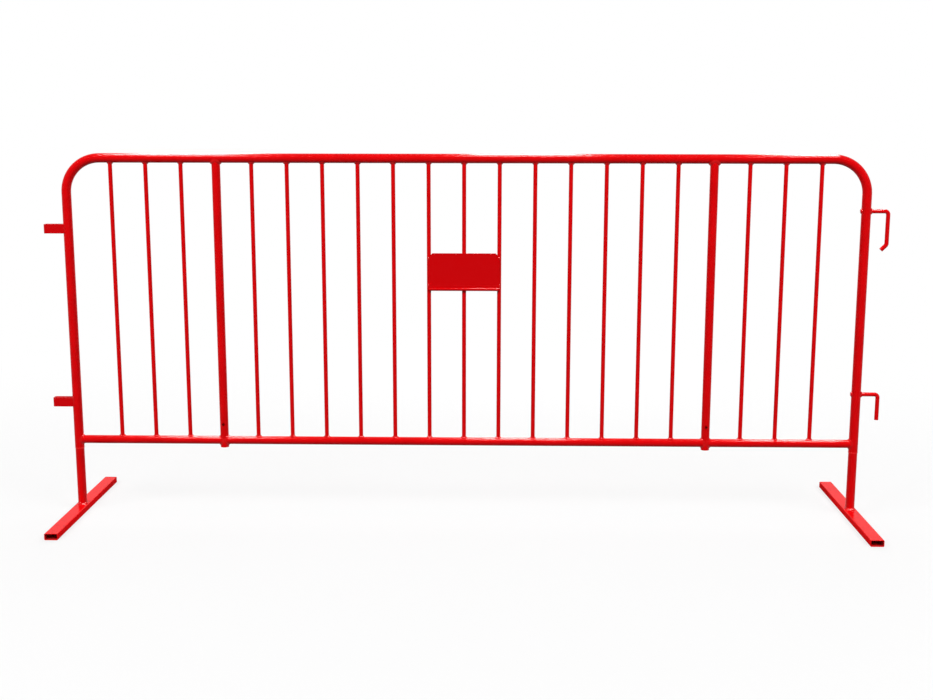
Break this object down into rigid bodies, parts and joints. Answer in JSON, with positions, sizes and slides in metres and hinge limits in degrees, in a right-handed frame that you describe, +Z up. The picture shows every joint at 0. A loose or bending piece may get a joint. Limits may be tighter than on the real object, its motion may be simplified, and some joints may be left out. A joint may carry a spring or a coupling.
{
  "type": "pedestrian barrier panel",
  "caption": "Free-standing red steel barrier panel of welded tubes on two turning feet, with coupling hooks on one post and loops on the other.",
  "frame": {"origin": "on the ground, below the middle of the panel", "axes": "+X along the panel towards the post with the hooks, +Y towards the back, +Z up"},
  "size_m": [2.554, 0.61, 1.115],
  "materials": {
    "red_paint": "glossy powder coat",
    "zinc_plate": "bright zinc plate"
  },
  "bodies": {
    "frame": {"top_frame": "red_paint", "bottom_rail_left": "red_paint", "bottom_rail_middle": "red_paint", "bottom_rail_right": "red_paint", "left_receiver": "red_paint", "right_receiver": "red_paint", "sign_plate": "red_paint", "upper_loop": "red_paint", "lower_loop": "red_paint", "upper_hook": "red_paint", "lower_hook": "red_paint", "retaining_screws": "zinc_plate", "infill_bar_01": "red_paint", "infill_bar_02": "red_paint", "infill_bar_03": "red_paint", "infill_bar_04": "red_paint", "infill_bar_05": "red_paint", "infill_bar_06": "red_paint", "infill_bar_07": "red_paint", "infill_bar_08": "red_paint", "infill_bar_09": "red_paint", "infill_bar_10": "red_paint", "infill_bar_11": "red_paint", "infill_bar_12": "red_paint", "infill_bar_13": "red_paint", "infill_bar_14": "red_paint", "infill_bar_15": "red_paint", "infill_bar_16": "red_paint", "infill_bar_17": "red_paint", "infill_bar_18": "red_paint", "infill_bar_19": "red_paint"},
    "left_foot": {"left_leg_tube": "red_paint", "left_foot_bar": "red_paint"},
    "right_foot": {"right_leg_tube": "red_paint", "right_foot_bar": "red_paint"}
  },
  "joints": [
    {"name": "left_foot_turn", "type": "hinge", "parent": "frame", "child": "left_foot", "pos_m": [-1.2047, 0, 0.2045], "axis": [0, 0, 1], "range_deg": [-90, 90]},
    {"name": "right_foot_turn", "type": "hinge", "parent": "frame", "child": "right_foot", "pos_m": [1.2047, 0, 0.2045], "axis": [0, 0, 1], "range_deg": [-90, 90]}
  ]
}
